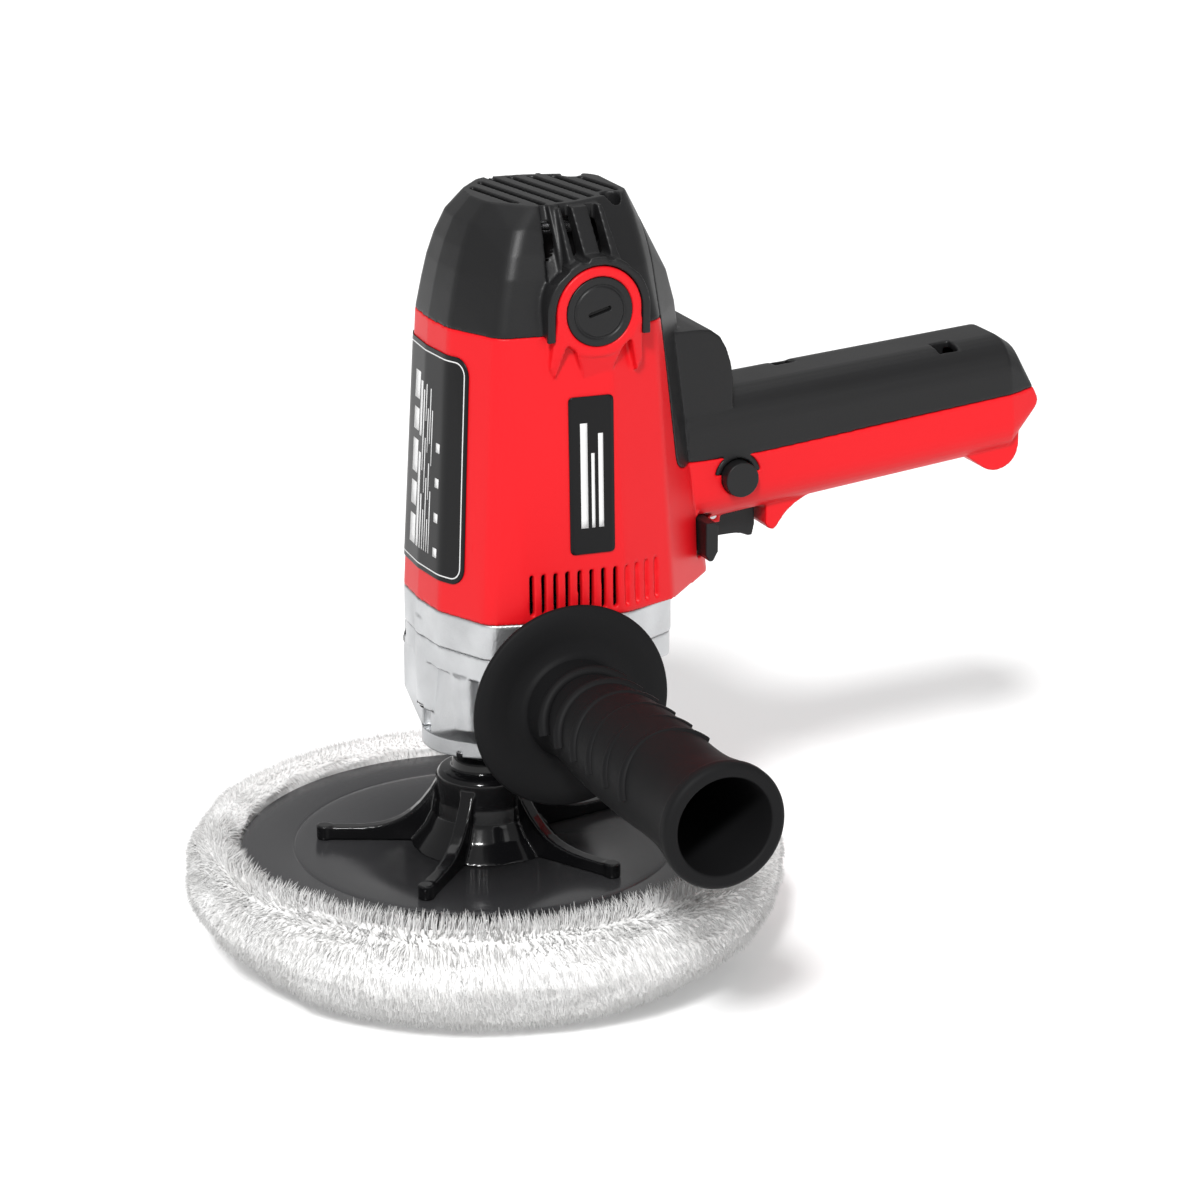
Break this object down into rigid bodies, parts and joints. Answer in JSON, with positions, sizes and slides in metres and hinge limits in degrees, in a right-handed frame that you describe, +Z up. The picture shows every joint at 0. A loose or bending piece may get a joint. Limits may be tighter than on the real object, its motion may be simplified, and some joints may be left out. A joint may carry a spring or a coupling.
{
  "type": "rotary polisher",
  "caption": "Upright rotary polisher with a wool pad on the spindle, a rear handle with trigger and lock-on button, and a side handle with a guard.",
  "frame": {"origin": "centre of the wool pad's flat face, on the spindle axis", "axes": "+Z up along the spindle, +X along the rear handle, side handle towards -Y"},
  "size_m": [0.332, 0.29, 0.283],
  "materials": {
    "red_plastic": "moulded, satin gloss",
    "black_plastic": "moulded, fine texture",
    "cast_alloy": "shot-blasted casting",
    "steel": "ground",
    "lamination_steel": "varnished laminations",
    "bronze": "turned",
    "copper": "enamelled wire",
    "felt": "pressed felt",
    "carbon": "pressed carbon",
    "grip_plastic": "moulded, fine texture",
    "hub_plastic": "moulded, polished",
    "plate_plastic": "semi-gloss moulding",
    "foam": "open-cell foam",
    "wool": "sheared wool pile",
    "label_film": "printed film",
    "grommet_rubber": "moulded rubber",
    "capacitor_case": "moulded case",
    "lock_button_plastic": "moulded"
  },
  "bodies": {
    "housing": {"motor_housing": "red_plastic", "handle_cover": "black_plastic", "top_cap": "black_plastic", "gear_case": "cast_alloy", "gear_plate": "cast_alloy", "bearing_cover": "cast_alloy", "felt_seal": "felt", "spindle_bearing": "steel", "spindle_bush": "bronze", "lay_shaft_bushes": "bronze", "drive_end_bearing": "steel", "commutator_end_bearing": "steel", "bearing_bridge": "black_plastic", "stator_core": "lamination_steel", "stator_windings": "copper", "fan_baffle": "black_plastic", "brush_holders": "bronze", "carbon_brushes": "carbon", "brush_springs": "steel", "brush_caps": "black_plastic", "switch_body": "black_plastic", "suppressor_capacitor": "capacitor_case", "cord_grommet": "grommet_rubber", "cord_clamp": "black_plastic", "side_handle_grip": "grip_plastic", "side_handle_stud": "steel", "front_label": "label_film", "side_badges": "label_film", "cap_screws": "steel", "handle_screws": "steel", "case_screws": "steel", "cover_screws": "steel", "trigger_pin": "steel", "spindle_lock_spring": "steel"},
    "spindle_unit": {"spindle": "steel", "spindle_gear": "steel", "spindle_key": "steel", "pad_hub": "hub_plastic", "backing_plate": "plate_plastic", "foam_pad": "foam", "wool_bonnet": "wool"},
    "lay_unit": {"lay_shaft": "steel", "lay_wheel": "steel", "lay_pinion": "steel"},
    "armature_unit": {"armature_shaft": "steel", "armature_core": "lamination_steel", "armature_windings": "copper", "commutator": "copper", "cooling_fan": "black_plastic"},
    "trigger_unit": {"trigger": "black_plastic", "trigger_spring": "steel"},
    "lock_button_unit": {"lock_button": "black_plastic", "lock_spring": "steel"},
    "selector_unit": {"selector_lever": "black_plastic"},
    "spindle_lock_unit": {"spindle_lock_pin": "lock_button_plastic"}
  },
  "joints": [
    {"name": "spindle_spin", "type": "hinge", "parent": "housing", "child": "spindle_unit", "pos_m": [0, 0, 0.06], "axis": [0, 0, 1], "continuous": true},
    {"name": "lay_shaft_spin", "type": "hinge", "parent": "housing", "child": "lay_unit", "pos_m": [0.0175, 0.01643, 0.11], "axis": [0, 0, 1], "continuous": true},
    {"name": "armature_spin", "type": "hinge", "parent": "housing", "child": "armature_unit", "pos_m": [0.026, 0, 0.19], "axis": [0, 0, 1], "continuous": true},
    {"name": "trigger_squeeze", "type": "hinge", "parent": "housing", "child": "trigger_unit", "pos_m": [0.087, 0, 0.1575], "axis": [0, -1, 0], "range_deg": [0, 12], "stiffness_Nm_per_rad": 0.6},
    {"name": "lock_on_press", "type": "slide", "parent": "housing", "child": "lock_button_unit", "axis": [0, 1, 0], "range_m": [0, 0.003], "stiffness_N_per_m": 300},
    {"name": "selector_shift", "type": "slide", "parent": "housing", "child": "selector_unit", "axis": [0, 1, 0], "range_m": [-0.003, 0.003]},
    {"name": "spindle_lock_press", "type": "slide", "parent": "housing", "child": "spindle_lock_unit", "axis": [0.5, -0.866, 0], "range_m": [0, 0.004], "stiffness_N_per_m": 400}
  ],
  "couplings": [
    {"joint": "lay_shaft_spin", "follows": "spindle_spin", "ratio": -3},
    {"joint": "armature_spin", "follows": "spindle_spin", "ratio": 10.875}
  ]
}
